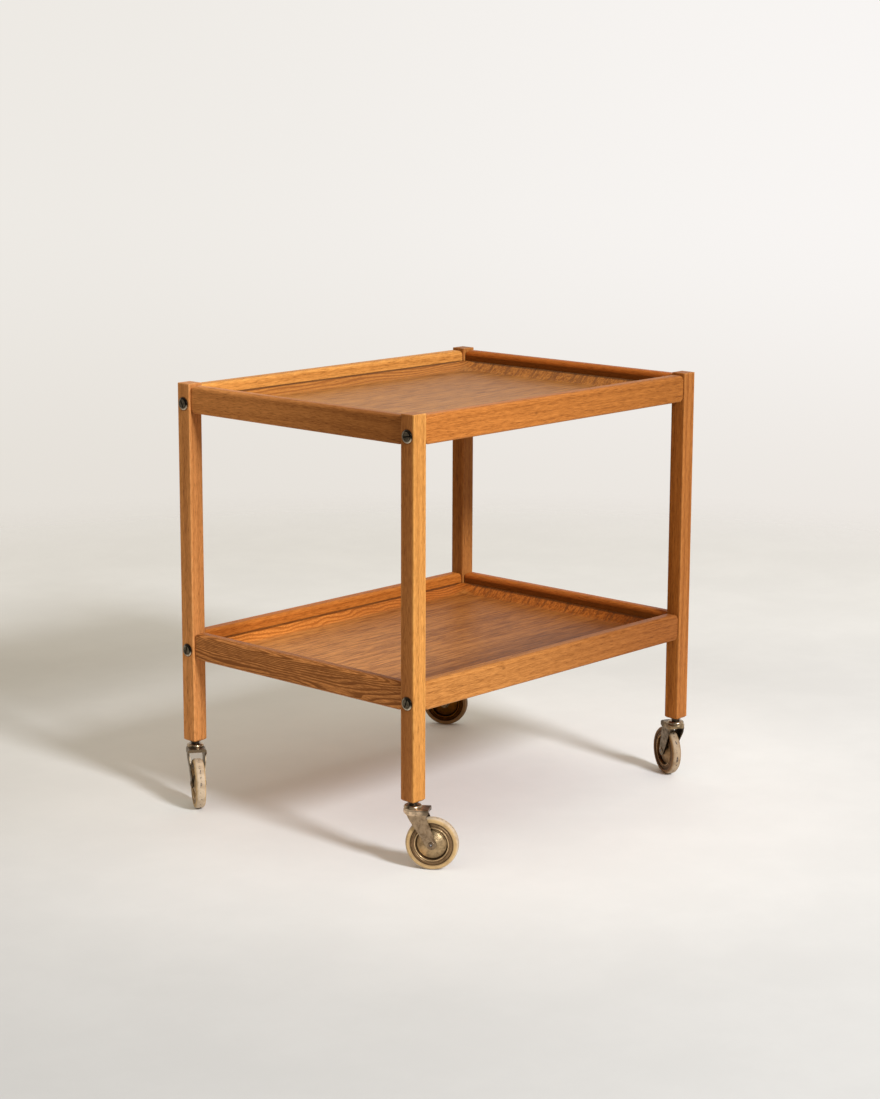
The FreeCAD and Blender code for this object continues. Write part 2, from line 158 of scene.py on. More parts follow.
def setCamera(look):
    yaw, pitch, roll = (math.radians(look[k]) for k in ("yaw", "pitch", "roll"))
    ahead = Vector((math.cos(yaw) * math.cos(pitch), math.sin(yaw) * math.cos(pitch), -math.sin(pitch)))
    level = Vector((math.sin(yaw), -math.cos(yaw), 0.0))
    upright = level.cross(ahead)
    right = level * math.cos(roll) + upright * math.sin(roll)
    top = upright * math.cos(roll) - level * math.sin(roll)
    data = bpy.data.cameras.new("photo_view")
    data.sensor_width = 36.0
    data.lens = look["lens"]
    data.clip_end = 80.0
    camera = bpy.data.objects.new("photo_view", data)
    turn = Matrix((right, top, -ahead)).transposed().to_4x4()
    camera.matrix_world = Matrix.Translation(look["place"]) @ turn
    scene.collection.objects.link(camera)
    scene.camera = camera
    return level


viewRight = setCamera(photoView)
print("camera set")


# studio: a soft key from the front right, a pale room that fills the shadows, and the floor

studio = {
    "keyPlace": (-0.95, -6.0, 4.0), "keyAim": (0.0, 0.0, 0.3), "keySize": 1.35, "keyLevel": 0.93,
    "keyColour": (0.97, 1.0, 1.05), "fillTop": 0.8, "fillLow": 0.055, "fillColour": (1.0, 0.91, 0.755),
    "farRight": (0.945, 0.92, 0.90), "farLeft": (0.85, 0.82, 0.775), "bendRight": (0.84, 0.80, 0.755),
    "bendLeft": (0.775, 0.735, 0.677), "nearLeft": (0.57, 0.57, 0.57), "nearRight": (0.87, 0.875, 0.88),
    "awayLeft": (0.81, 0.81, 0.805), "awayRight": (0.84, 0.845, 0.855), "middleLight": (1.25, 1.25, 1.245),
    "shadeBandLeft": (0.865, 0.85, 0.825), "shadeBandRight": (0.93, 0.93, 0.935),
    "floorReach": (1.75, 2.7), "floorSides": (-0.9, 1.1), "floorDepth": (-1.3, 1.0), "middleReach": (0.95, 0.3),
    "bandNear": (-0.6, 0.05), "bandFar": (1.2, 0.75), "scuffScale": 5.0, "scuffs": (0.35, 0.7, 0.965, 1.0),
    "keyReach": 7.1, "keyFall": 2.2, "keyMost": 1.02,
    "fillHeights": (-0.1, 0.9), "roomSides": (-0.2, 0.2), "bendHeights": (-0.06, -0.205),
    "dimTilt": 0.45, "dimSides": (-0.5, 0.65), "dimLevels": (0.2, 1.0),
}


def setKey(look):
    data = bpy.data.lights.new("key", "AREA")
    data.shape = "DISK"
    data.size = look["keySize"]
    aim = Vector(look["keyAim"]) - Vector(look["keyPlace"])
    data.energy = look["keyLevel"] * (math.pi * aim.length) ** 2  # a white card facing it shows as keyLevel
    data.color = look["keyColour"]
    lamp = bpy.data.objects.new("key", data)
    lamp.location = look["keyPlace"]
    lamp.rotation_mode = "QUATERNION"
    lamp.rotation_quaternion = aim.to_track_quat("-Z", "Y")
    scene.collection.objects.link(lamp)


def setRoom(look):
    world = bpy.data.worlds.new("room")
    world.use_nodes = True
    scene.world = world
    tree = world.node_tree
    tree.nodes.clear()
    way = put(tree, "TexCoord").outputs["Generated"]
    height = put(tree, "SeparateXYZ", {0: way}).outputs["Z"]
    aside = vector(tree, "DOT_PRODUCT", way, tuple(viewRight))
    level = spread(tree, height, *look["fillHeights"], look["fillLow"], look["fillTop"])
    fillLight = put(tree, "Background", {"Color": rgb(*look["fillColour"]), "Strength": level})
    sideways = spread(tree, aside, *look["roomSides"])
    far = mixed(tree, sideways, rgb(*look["farLeft"]), rgb(*look["farRight"]))
    near = mixed(tree, sideways, rgb(*look["bendLeft"]), rgb(*look["bendRight"]))
    pale = mixed(tree, spread(tree, height, *look["bendHeights"]), far, near)
    ray = put(tree, "LightPath").outputs
    backdrop = vector(tree, "DOT_PRODUCT", way, (-viewRight.y, viewRight.x, look["dimTilt"]))
    darker = spread(tree, backdrop, *look["dimSides"], *look["dimLevels"])  # the room behind the camera is dim
    strength = mixed(tree, ray["Is Glossy Ray"], rgb(1.0, 1.0, 1.0), darker)
    shown = put(tree, "Background", {"Color": pale, "Strength": strength})
    seen = calc(tree, "MAXIMUM", ray["Is Camera Ray"], ray["Is Glossy Ray"])
    seen = calc(tree, "MAXIMUM", seen, ray["Is Transmission Ray"])
    both = put(tree, "MixShader", {0: seen, 1: fillLight.outputs[0], 2: shown.outputs[0]})
    put(tree, "OutputWorld", {"Surface": both.outputs[0]})


def setFloor(look):
    # a flat disc; its rim fades away into the room's pale colour
    ring = np.linspace(0.0, 2.0 * np.pi, 96, endpoint=False)
    spots = np.stack([np.cos(ring), np.sin(ring), np.zeros_like(ring)], 1) * look["floorReach"][1]
    mesh = bpy.data.meshes.new("floor")
    mesh.from_pydata(spots.tolist(), [], [tuple(range(len(ring)))])
    floor = bpy.data.objects.new("floor", mesh)
    scene.collection.objects.link(floor)
    material, tree, shader = newMaterial("pale floor", Roughness=0.6, Specular_IOR_Level=0.15)
    place = put(tree, "TexCoord").outputs["Object"]
    aside = vector(tree, "DOT_PRODUCT", place, tuple(viewRight))
    sideways = spread(tree, aside, *look["floorSides"])
    # painted light: the floor is drawn lighter and darker across the view and away from the camera, as the light
    # falls on it
    near = mixed(tree, sideways, rgb(*look["nearLeft"]), rgb(*look["nearRight"]))
    away = mixed(tree, sideways, rgb(*look["awayLeft"]), rgb(*look["awayRight"]))
    ahead = vector(tree, "DOT_PRODUCT", place, (-viewRight.y, viewRight.x, 0.0))
    base = mixed(tree, spread(tree, ahead, *look["floorDepth"]), near, away)
    # painted shade: a band across the middle distance is drawn darker, most on the left
    band = calc(tree, "MULTIPLY", spread(tree, ahead, *look["bandNear"]), spread(tree, ahead, *look["bandFar"]))
    bandShade = mixed(tree, sideways, rgb(*look["shadeBandLeft"]), rgb(*look["shadeBandRight"]))
    base = mixed(tree, band, base, bandShade, "MULTIPLY")
    scuffs = spread(tree, noise(tree, place, look["scuffScale"], 6.0, 0.65), *look["scuffs"])
    toKey = vector(tree, "LENGTH", vector(tree, "SUBTRACT", place, look["keyPlace"]))
    even = calc(tree, "POWER", calc(tree, "DIVIDE", toKey, look["keyReach"]), look["keyFall"])  # evens out the key
    even = calc(tree, "MULTIPLY", scuffs, calc(tree, "MINIMUM", even, look["keyMost"]))
    base = mixed(tree, 1.0, base, grey(tree, even), "MULTIPLY")
    reach = vector(tree, "LENGTH", place)
    # painted light: the floor round and under the trolley is drawn lighter
    base = mixed(tree, spread(tree, reach, *look["middleReach"]), base, rgb(*look["middleLight"]), "MULTIPLY")
    tree.links.new(base, shader.inputs["Base Color"])
    gone = spread(tree, reach, *look["floorReach"])
    clear = put(tree, "BsdfTransparent")
    both = put(tree, "MixShader", {0: gone, 1: shader.outputs[0], 2: clear.outputs[0]})
    out = next(n for n in tree.nodes if n.type == "OUTPUT_MATERIAL")
    tree.links.new(both.outputs[0], out.inputs["Surface"])
    wear(material, floor)


setKey(studio)
setRoom(studio)
setFloor(studio)
print("studio set")


# wood figure, shared by solid oak and veneer; the grain runs along Z of the vector that comes in

grain = {
    "drift": (0.16, 16.0), "broad": (0.12, 26.0), "streak": (0.03, 330.0), "fibre": (0.035, 1300.0),
    "dash": (0.085, 800.0),  # how much each is drawn out along the grain, and its scale
    "slant": 0.45, "lateRise": (0.4, 0.9), "lateFall": (1.0, 0.94), "pores": (0.56, 0.70), "poreTone": 0.75,
    "middle": 0.55, "broadTone": 0.7, "fibreTone": 0.7, "gloss": (0.18, 0.36), "fibreRise": 0.5,
}


def woodFigureGroup(look):
    group, given, out = newGroup("wood figure", [
        ("Vector", "Vector"), ("Pale", "Color"), ("Dark", "Color"), ("Pore", "Color"), ("Lines", "Float"),
        ("Pitch", "Float"), ("Flow", "Float"), ("Streaks", "Float"), ("Dashes", "Float"),
    ], [("Color", "Color"), ("Roughness", "Float"), ("Height", "Float")])
    place = given["Vector"]

    def drawn(amount):
        return vector(group, "MULTIPLY", place, (1.0, 1.0, amount))

    def fine(name, detail=2.0, roughness=0.5):
        amount, scale = look[name]
        return noise(group, drawn(amount), scale, detail, roughness)

    amount, scale = look["drift"]
    drift = put(group, "TexNoise", {"Vector": drawn(amount), "Scale": scale, "Detail": 2.0}).outputs["Color"]
    drift = vector(group, "SUBTRACT", drift, (0.5, 0.5, 0.5))
    drift = vector(group, "SCALE", drift)
    group.links.new(given["Flow"], drift.node.inputs["Scale"])
    bent = put(group, "SeparateXYZ", {0: vector(group, "ADD", place, drift)}).outputs
    across = calc(group, "MULTIPLY_ADD", bent["Y"], look["slant"], bent["X"])
    ring = calc(group, "FRACT", calc(group, "DIVIDE", across, given["Pitch"]))
    late = calc(group, "MULTIPLY", spread(group, ring, *look["lateRise"]), spread(group, ring, *look["lateFall"]))
    broad = fine("broad")
    streak = fine("streak", 3.0, 0.6)
    fibre = fine("fibre")
    dash = fine("dash", 3.0, 0.7)
    pore = spread(group, dash, *look["pores"])
    pore = calc(group, "MULTIPLY", pore, calc(group, "MULTIPLY_ADD", late, 0.5, 0.5))
    tone = calc(group, "MULTIPLY_ADD", calc(group, "SUBTRACT", broad, 0.5), look["broadTone"], look["middle"])
    tone = calc(group, "MULTIPLY_ADD", calc(group, "SUBTRACT", 0.5, dash), given["Dashes"], tone)
    swing = calc(group, "MULTIPLY", calc(group, "SUBTRACT", streak, 0.5), given["Streaks"])
    tone = calc(group, "ADD", tone, swing)
    tone = calc(group, "MULTIPLY_ADD", calc(group, "SUBTRACT", fibre, 0.5), look["fibreTone"], tone)
    tone = calc(group, "SUBTRACT", tone, calc(group, "MULTIPLY", late, given["Lines"]))
    tone = put(group, "Clamp", {0: tone}).outputs[0]
    colour = mixed(group, tone, given["Dark"], given["Pale"])
    colour = mixed(group, calc(group, "MULTIPLY", pore, look["poreTone"]), colour, given["Pore"])
    group.links.new(colour, out["Color"])
    group.links.new(calc(group, "MULTIPLY_ADD", fibre, *look["gloss"]), out["Roughness"])
    rise = calc(group, "SUBTRACT", calc(group, "MULTIPLY", fibre, look["fibreRise"]), pore)
    group.links.new(rise, out["Height"])
    return group


# wear along a piece's edges: the middle one of the three distances to its faces is small there

edgePatches = {"noise": (60.0, 4.0, 0.6), "range": (0.35, 0.7)}


def edgeWearGroup(look):
    group, given, out = newGroup("edge wear", [
        ("Vector", "Vector"), ("Middle", "Vector"), ("Half", "Vector"), ("Width", "Float"),
    ], [("Mask", "Float")])
    away = vector(group, "ABSOLUTE", vector(group, "SUBTRACT", given["Vector"], given["Middle"]))
    depth = put(group, "SeparateXYZ", {0: vector(group, "SUBTRACT", given["Half"], away)}).outputs
    low = calc(group, "MINIMUM", depth["X"], depth["Y"])
    high = calc(group, "MAXIMUM", depth["X"], depth["Y"])
    middle = calc(group, "MAXIMUM", low, calc(group, "MINIMUM", high, depth["Z"]))
    near = calc(group, "SUBTRACT", 1.0, calc(group, "DIVIDE", middle, given["Width"]))
    patchy = spread(group, noise(group, given["Vector"], *look["noise"]), *look["range"])
    near = put(group, "Clamp", {0: near}).outputs[0]
    group.links.new(calc(group, "MULTIPLY", near, patchy), out["Mask"])
    return group


woodFigure = woodFigureGroup(grain)
edgeWear = edgeWearGroup(edgePatches)
turnToGrain = {"X": (0.0, math.pi / 2, 0.0), "Y": (math.pi / 2, 0.0, 0.0), "Z": (0.0, 0.0, 0.0)}


def woodMaterial(name, look):
    material, tree, shader = newMaterial(name, Specular_IOR_Level=look["shine"], IOR=1.45,
                                         Specular_Tint=rgb(1.0, 0.84, 0.64))
    place = put(tree, "TexCoord").outputs["Object"]
    size = look["size"]
    laid = put(tree, "Mapping", {"Vector": place, "Rotation": turnToGrain[look["along"]],
                                 "Location": look["cut"], "Scale": (size, size, size)}).outputs[0]
    figure = useGroup(tree, woodFigure, {
        "Vector": laid, "Pale": rgb(*look["pale"]), "Dark": rgb(*look["dark"]), "Pore": rgb(*look["pore"]),
        "Lines": look["lines"], "Pitch": look["pitch"] * size, "Flow": look["flow"] * size,
        "Streaks": look["streaks"], "Dashes": look["dashes"],
    })
    return tree, shader, place, figure, material


oak = {"pale": (0.58, 0.218, 0.048), "dark": (0.30, 0.096, 0.0175), "pore": (0.15, 0.045, 0.009),
       "worn": (0.66, 0.29, 0.075), "lines": 0.20, "pitch": 0.011, "flow": 0.016, "streaks": 0.5, "shine": 0.09,
       "bump": 0.00012, "size": 1.05, "dashes": 2.1, "tint": (1.0, 1.0, 1.0), "fade": (1.0, 1.0), "relief": 0.6,
       "edge": 0.0035, "edgeTone": 0.5, "knotShape": (0.55, 0.6, 1.0), "knotRough": (420.0, 0.0022),
       "knotReach": (0.0046, 0.0024), "knotTone": 0.7, "underSide": (0.002, 0.004), "underTop": (0.006, 0.0095),
       "ring": (0.0114, 0.0096), "collarShadeTone": 0.75, "sapAndLitDepth": (0.005, 0.0015)}
# each piece's tint and fade are partly the wood's own tone and partly painted light and shade for how the piece is
# lit; the back right leg is drawn darker as painted shade
oakPieces = {
    "leg_front_left": {"along": "Z", "cut": (0.013, 0.4, 0.1), "tint": (0.84, 0.865, 1.06), "fade": (1.0, 1.06),
                       "sapAndLitFace": (1.54, 1.78, 1.65)},
    "leg_front_right": {"along": "Z", "cut": (0.31, 0.22, 0.5), "lines": 0.32, "streaks": 1.1,
                        "tint": (0.78, 0.7, 0.575), "sapAndLitFace": (1.12, 1.22, 1.62)},
    "leg_back_left": {"along": "Z", "cut": (0.52, 0.11, 0.9), "tint": (1.32, 1.5, 2.12)},
    "leg_back_right": {"along": "Z", "cut": (0.77, 0.63, 0.3), "tint": (0.74, 0.75, 0.70), "sapAndLitFace": (1.26, 1.3, 1.55)},
    "upper_rail_front": {"along": "X", "cut": (0.21, 0.35, 0.2), "tint": (0.99, 0.94, 0.9), "fade": (1.16, 0.84),
                         "knot": (-0.0575, -0.236, 0.6235)},
    "upper_rail_back": {"along": "X", "cut": (0.43, 0.87, 0.6), "tint": (1.5, 1.82, 2.05)},
    "upper_rail_left": {"along": "Y", "cut": (0.64, 0.28, 0.7), "tint": (0.95, 0.97, 1.14),
                        "fade": ((0.8, 0.77, 0.74), (1.38, 1.45, 1.56))},
    "upper_rail_right": {"along": "Y", "cut": (0.92, 0.51, 0.4), "tint": (0.88, 0.66, 0.44), "under": 0.4},
    "lower_rail_front": {"along": "X", "cut": (0.17, 0.69, 0.8), "tint": (0.90, 0.92, 1.06),
                         "fade": ((1.25, 1.37, 1.4), (0.72, 0.64, 0.6)), "knot": (-0.1247, -0.236, 0.2592)},
    "lower_rail_back": {"along": "X", "cut": (0.38, 0.44, 0.1), "tint": (1.13, 1.0, 0.78)},
    "lower_rail_left": {"along": "Y", "cut": (0.59, 0.93, 0.5), "dark": (0.19, 0.06, 0.011), "lines": 1.0,
                        "pitch": 0.0018, "flow": 0.036, "size": 1.0, "tint": (1.3, 1.38, 1.8)},
    "lower_rail_right": {"along": "Y", "cut": (0.83, 0.16, 0.3), "tint": (1.0, 0.8, 0.6), "under": 0.42},
}
collarLevels = (0.2418, 0.6175)


def dressOak(node, own):
    look = {**oak, **own}
    tree, shader, place, figure, material = woodMaterial("oak " + node.replace("_", " "), look)
    low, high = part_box(node)
    spot = put(tree, "SeparateXYZ", {0: place}).outputs
    middle = (low + high) / 2
    mask = useGroup(tree, edgeWear,
                    {"Vector": place, "Middle": middle, "Half": high - middle, "Width": look["edge"]})["Mask"]
    colour = mixed(tree, calc(tree, "MULTIPLY", mask, look["edgeTone"]), figure["Color"], rgb(*look["worn"]))
    if "knot" in look:  # a small dark knot, drawn out along the grain
        off = vector(tree, "MULTIPLY", vector(tree, "SUBTRACT", place, look["knot"]), look["knotShape"])
        scale, amount = look["knotRough"]
        off = calc(tree, "MULTIPLY_ADD", noise(tree, place, scale), amount, vector(tree, "LENGTH", off))
        knot = spread(tree, off, *look["knotReach"], 0.0, look["knotTone"])
        colour = mixed(tree, knot, colour, rgb(*look["pore"]))
    axis = "XYZ".index(look["along"])
    # tone graded along the piece, partly the wood's own and partly painted light and shade
    ends = [rgb(*(np.array(look["tint"]) * amount)) for amount in look["fade"]]
    tint = mixed(tree, spread(tree, spot[axis], low[axis], high[axis]), *ends)
    colour = mixed(tree, 1.0, colour, tint, "MULTIPLY")
    if "under" in look:  # painted shade: the lower part of the inner side is drawn dark, under the rail's top
        out, within = look["underSide"]
        inner = spread(tree, spot["X"], middle.x + out, middle.x - within)
        lower = spread(tree, spot["Z"], *(high.z - part for part in look["underTop"]))
        deep = calc(tree, "MULTIPLY", inner, lower)
        colour = mixed(tree, deep, colour, grey(tree, look["under"]), "MULTIPLY")
    if look["along"] == "Z":  # painted shade in the gap round the collars
        for height in collarLevels:
            aside = vector(tree, "SUBTRACT", place, (0.0, middle.y, height))
            aside = vector(tree, "MULTIPLY", aside, (0.0, 1.0, 1.0))
            ring = spread(tree, vector(tree, "LENGTH", aside), *look["ring"], 0.0, look["collarShadeTone"])
            colour = mixed(tree, ring, colour, rgb(*look["pore"]))
    if "sapAndLitFace" in look:  # paler front face: partly sapwood, partly painted light on the face the key lights
        pale = spread(tree, spot["Y"], *(low.y + part for part in look["sapAndLitDepth"]))
        colour = mixed(tree, pale, colour, rgb(*look["sapAndLitFace"]), "MULTIPLY")
    connect(tree, shader, colour, figure["Roughness"], figure["Height"], look["bump"], look["relief"])
    wear(material, nodes[node])


for nodeName, own in oakPieces.items():
    dressOak(nodeName, own)
print("oak dressed:", len(oakPieces))

veneer = {"along": "X", "pale": (0.45, 0.178, 0.046), "dark": (0.24, 0.079, 0.017), "pore": (0.12, 0.038, 0.009),
          "lines": 0.14, "pitch": 0.021, "flow": 0.045, "streaks": 1.8, "dashes": 3.6, "bump": 0.00008,
          "relief": 0.5, "size": 0.42, "shades": ((1.0, 1.0, 1.0), (1.0, 1.0, 1.0))}
trays = {
    "upper_tray": {"cut": (0.05, 0.31, 0.4), "shine": 0.22, "streaks": 1.25, "waves": 1.6, "rim": (1.14, 1.05, 0.88),
                   "ends": ((1.2, 1.3, 1.16), (0.98, 1.02, 0.9))},
    "lower_tray": {"cut": (0.47, 0.12, 0.8), "shine": 0.12, "waves": 4.0, "rim": (1.28, 1.08, 0.8),
                   "shades": ((0.4, 0.3, 0.245), (1.06, 1.06, 1.07)), "ends": ((1.54, 1.7, 1.72), (0.9, 0.82, 0.64))},
}
trayRange = {"length": (-0.27, 0.27), "front": (-0.2, -0.02)}
rimTone = {
    "size": 0.9, "from": (0.271, 0.194), "to": (0.282, 0.205), "lines": 1.0, "pitch": 0.0055, "flow": 0.035,
    "streaks": 0.5, "dashes": 1.5, "tick": (0.13, 0.04, 0.01), "tickShape": (0.12, 1.0, 0.12), "tickScale": 140.0,
    "ticks": (0.5, 0.6, 0.0, 0.6), "seam": (0.05, 0.016, 0.005), "seamFrom": 0.005, "seamTo": 0.0034,
    "seamTone": 0.72,
}


def dressTray(node, own):
    look = {**veneer, **own}
    tree, shader, place, figure, material = woodMaterial("veneer " + node.replace("_", " "), look)
    away = put(tree, "SeparateXYZ", {0: vector(tree, "ABSOLUTE", place)}).outputs
    endRim, longRim = (spread(tree, away[axis], start, end)
                       for axis, start, end in zip("XY", rimTone["from"], rimTone["to"]))
    spot = put(tree, "SeparateXYZ", {0: place}).outputs
    finer = rimTone["size"] / look["size"]
    laid = figure["Color"].node.inputs["Vector"].links[0].from_socket
    flame = useGroup(tree, woodFigure, {
        "Vector": vector(tree, "MULTIPLY", laid, (finer, finer, finer * look["waves"])),
        "Pale": rgb(*look["pale"]), "Dark": rgb(*look["dark"]), "Pore": rgb(*look["pore"]),
        "Lines": rimTone["lines"], "Pitch": rimTone["pitch"] * rimTone["size"],
        "Flow": rimTone["flow"] * rimTone["size"], "Streaks": rimTone["streaks"], "Dashes": rimTone["dashes"],
    })
    colour = mixed(tree, longRim, figure["Color"], flame["Color"])
    tint = mixed(tree, spread(tree, spot["X"], *trayRange["length"]), *(rgb(*end) for end in look["ends"]))
    colour = mixed(tree, 1.0, colour, tint, "MULTIPLY")
    # painted shade: the lower deck is drawn darker towards its front edge
    back = spread(tree, spot["Y"], *trayRange["front"])
    shade = mixed(tree, back, *(rgb(*tone) for tone in look["shades"]))
    colour = mixed(tree, 1.0, colour, shade, "MULTIPLY")
    colour = mixed(tree, calc(tree, "MAXIMUM", endRim, longRim), colour, rgb(*look["rim"]), "MULTIPLY")
    ticks = noise(tree, vector(tree, "MULTIPLY", place, rimTone["tickShape"]), rimTone["tickScale"], 3.0, 0.6)
    ticks = calc(tree, "MULTIPLY", spread(tree, ticks, *rimTone["ticks"]), endRim)
    colour = mixed(tree, ticks, colour, rgb(*rimTone["tick"]))
    level = node.split("_")[0]  # dirt and painted shade where the rim goes into the rails
    inner = {"X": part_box(level + "_rail_right")[0].x, "Y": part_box(level + "_rail_back")[0].y}
    seam = calc(tree, "MAXIMUM", *(spread(tree, away[axis], reach - rimTone["seamFrom"], reach - rimTone["seamTo"])
                                   for axis, reach in inner.items()))
    colour = mixed(tree, calc(tree, "MULTIPLY", seam, rimTone["seamTone"]), colour, rgb(*rimTone["seam"]))
    connect(tree, shader, colour, figure["Roughness"], figure["Height"], look["bump"], look["relief"])
    wear(material, nodes[node])


for nodeName, own in trays.items():
    dressTray(nodeName, own)
print("trays dressed")


# aged metal: a plated tone with dull stains and fine scratches

aging = {"coarse": (5.0, 0.65), "fine": 1400.0, "dull": (0.38, 0.68), "dullRough": 0.3, "fineRough": 0.08,
         "fineRise": 0.4}


def agedMetalGroup(look):
    group, given, out = newGroup("aged metal", [
        ("Vector", "Vector"), ("Plate", "Color"), ("Stain", "Color"), ("Grain", "Float"), ("Stained", "Float"),
        ("Gloss", "Float"),
    ], [("Color", "Color"), ("Roughness", "Float"), ("Height", "Float")])
    coarse = noise(group, given["Vector"], given["Grain"], *look["coarse"])
    fine = noise(group, given["Vector"], look["fine"])
    dull = calc(group, "MULTIPLY", spread(group, coarse, *look["dull"]), given["Stained"])
    group.links.new(mixed(group, dull, given["Plate"], given["Stain"]), out["Color"])
    rough = calc(group, "MULTIPLY_ADD", dull, look["dullRough"], given["Gloss"])
    group.links.new(calc(group, "MULTIPLY_ADD", fine, look["fineRough"], rough), out["Roughness"])
    group.links.new(calc(group, "ADD", calc(group, "MULTIPLY", fine, look["fineRise"]), coarse), out["Height"])
    return group


agedMetal = agedMetalGroup(aging)
metalDepth, metalRelief = 0.0001, 0.35  # how deep the scratches go, and how much of it shows on plain metal
crownRange = {"height": (0.0795, 0.0825), "stain": 0.3, "back": (0.011, 0.019, 0.0, 0.8), "facing": (0.02, -0.1)}
metals = {
    "bolt steel": {"plate": (0.15, 0.122, 0.083), "stain": (0.03, 0.022, 0.013), "grain": 200.0, "stained": 0.8,
                   "gloss": 0.24, "slotFrom": (0.0009, 0.0004), "slot": (0.004, 0.003, 0.002)},
    # collar nickel: its bright lower front is a painted reflection, its grime colour above is painted shade
    "collar nickel": {"plate": (0.62, 0.53, 0.40), "stain": (0.16, 0.13, 0.09), "grain": 240.0, "stained": 0.6,
                      "gloss": 0.22, "grime": (0.03, 0.022, 0.014), "levels": collarLevels, "line": 0.228,
                      "slant": (0.6, 0.8), "bare": (0.0, 0.006, 0.4, 1.0), "shadedAbove": (0.001, 0.0055)},
    "zinc steel": {"plate": (0.085, 0.066, 0.048), "stain": (0.025, 0.018, 0.011), "grain": 160.0, "stained": 0.8,
                   "gloss": 0.24},
    "castor nickel": {"plate": (0.385, 0.278, 0.176), "stain": (0.165, 0.106, 0.06), "grain": 130.0,
                      "stained": 0.75, "gloss": 0.25, "crown": (0.85, 0.63, 0.42), "inside": (0.07, 0.05, 0.032)},
    "grimy shaded nickel": {"plate": (0.225, 0.168, 0.104), "stain": (0.08, 0.053, 0.028), "grain": 140.0, "stained": 0.85,
                    "gloss": 0.27, "crown": (0.38, 0.268, 0.15), "inside": (0.06, 0.044, 0.028)},
    "bare nickel": {"plate": (0.22, 0.165, 0.102), "stain": (0.10, 0.07, 0.04), "grain": 140.0, "stained": 0.85,
                    "gloss": 0.27, "crown": (0.2, 0.138, 0.076), "inside": (0.2, 0.148, 0.092)},
    "cap bronze": {"plate": (0.5, 0.37, 0.235), "stain": (0.045, 0.03, 0.016), "grain": 150.0, "stained": 0.9,
                   "gloss": 0.2},
}


def agedCoat(tree, place, plate, stain, look):
    return useGroup(tree, agedMetal, {
        "Vector": place, "Plate": plate, "Stain": stain, "Grain": look["grain"], "Stained": look["stained"],
        "Gloss": look["gloss"],
    })


def metalMaterial(name, look):
    material, tree, shader = newMaterial(name, Metallic=1.0)
    place = put(tree, "TexCoord").outputs["Object"]
    plate, stain = rgb(*look["plate"]), rgb(*look["stain"])
    if "crown" in look:  # the crown has its own tone, with a painted highlight where it is brighter; its back end and the insides that face the wheel are drawn dark as painted shade
        high = spread(tree, put(tree, "SeparateXYZ", {0: place}).outputs["Z"], *crownRange["height"])
        plate = mixed(tree, high, plate, rgb(*look["crown"]))
        stain = mixed(tree, high, stain, rgb(*(crownRange["stain"] * part for part in look["crown"])))
        outward = put(tree, "Attribute", attribute_name="outward").outputs["Vector"]
        facing = vector(tree, "DOT_PRODUCT", outward, put(tree, "TexCoord").outputs["Normal"])
        behind = put(tree, "Attribute", attribute_name="reach").outputs["Fac"]
        behind = calc(tree, "MULTIPLY", spread(tree, behind, *crownRange["back"]), high)
        inside = calc(tree, "MAXIMUM", spread(tree, facing, *crownRange["facing"]), behind)
        plate, stain = (mixed(tree, inside, tone, rgb(*look["inside"])) for tone in (plate, stain))
    if "slotFrom" in look:  # painted shade: the slots are drawn black inside
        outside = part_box("connector_bolts")[1].x
        deep = calc(tree, "ABSOLUTE", put(tree, "SeparateXYZ", {0: place}).outputs["X"])
        deep = spread(tree, deep, *(outside - part for part in look["slotFrom"]))
        plate, stain = (mixed(tree, deep, rgb(*look["slot"]), tone) for tone in (plate, stain))
    if "grime" in look:  # each collar is drawn dark above as painted shade and bright below, on its side towards the front, as a painted reflection
        spot = put(tree, "SeparateXYZ", {0: place}).outputs
        low, high = look["levels"]
        level = calc(tree, "MULTIPLY_ADD", calc(tree, "GREATER_THAN", spot["Z"], (low + high) / 2), high - low, low)
        line = calc(tree, "MULTIPLY", calc(tree, "SIGN", spot["Y"]), look["line"])
        ahead = calc(tree, "MULTIPLY", calc(tree, "SUBTRACT", line, spot["Y"]), look["slant"][0])
        down = calc(tree, "MULTIPLY", calc(tree, "SUBTRACT", level, spot["Z"]), look["slant"][1])
        bare = spread(tree, calc(tree, "ADD", ahead, down), *look["bare"])
        shadedAbove = spread(tree, calc(tree, "SUBTRACT", ahead, down), *look["shadedAbove"])
        plate = mixed(tree, bare, stain, plate)
        plate, stain = (mixed(tree, shadedAbove, tone, rgb(*look["grime"])) for tone in (plate, stain))
    aged = agedCoat(tree, place, plate, stain, look)
    connect(tree, shader, aged["Color"], aged["Roughness"], aged["Height"], metalDepth, metalRelief)
    return material


metal = {name: metalMaterial(name, look) for name, look in metals.items()}
wear(metal["bolt steel"], nodes["connector_bolts"])
wear(metal["zinc steel"], nodes["barrel_nuts"])
for corner in corners:
    for piece in ("socket", "stem", "bearing_balls", "wheel_bush"):
        wear(metal["zinc steel"], nodes["castor_%s_%s" % (corner, piece)])
    wear(metal["cap bronze"], nodes["castor_%s_race_cap" % corner])
print("metal dressed")

dowel = {**oak, "cut": (0.1, 0.2, 0.3), "pale": (0.78, 0.60, 0.40), "dark": (0.62, 0.44, 0.26),
         "pore": (0.45, 0.30, 0.17), "shine": 0.2}
for nodeName, along in (("pin_dowels", "X"), ("rail_dowels", "Y")):
    look = {**dowel, "along": along}
    tree, shader, place, figure, material = woodMaterial("dowel " + nodeName.replace("_", " "), look)
    tree.links.new(figure["Color"], shader.inputs["Base Color"])
    tree.links.new(figure["Roughness"], shader.inputs["Roughness"])
    wear(material, nodes[nodeName])


# castor wheels: turned surfaces about each wheel's own axle, from profiles with rounded corners

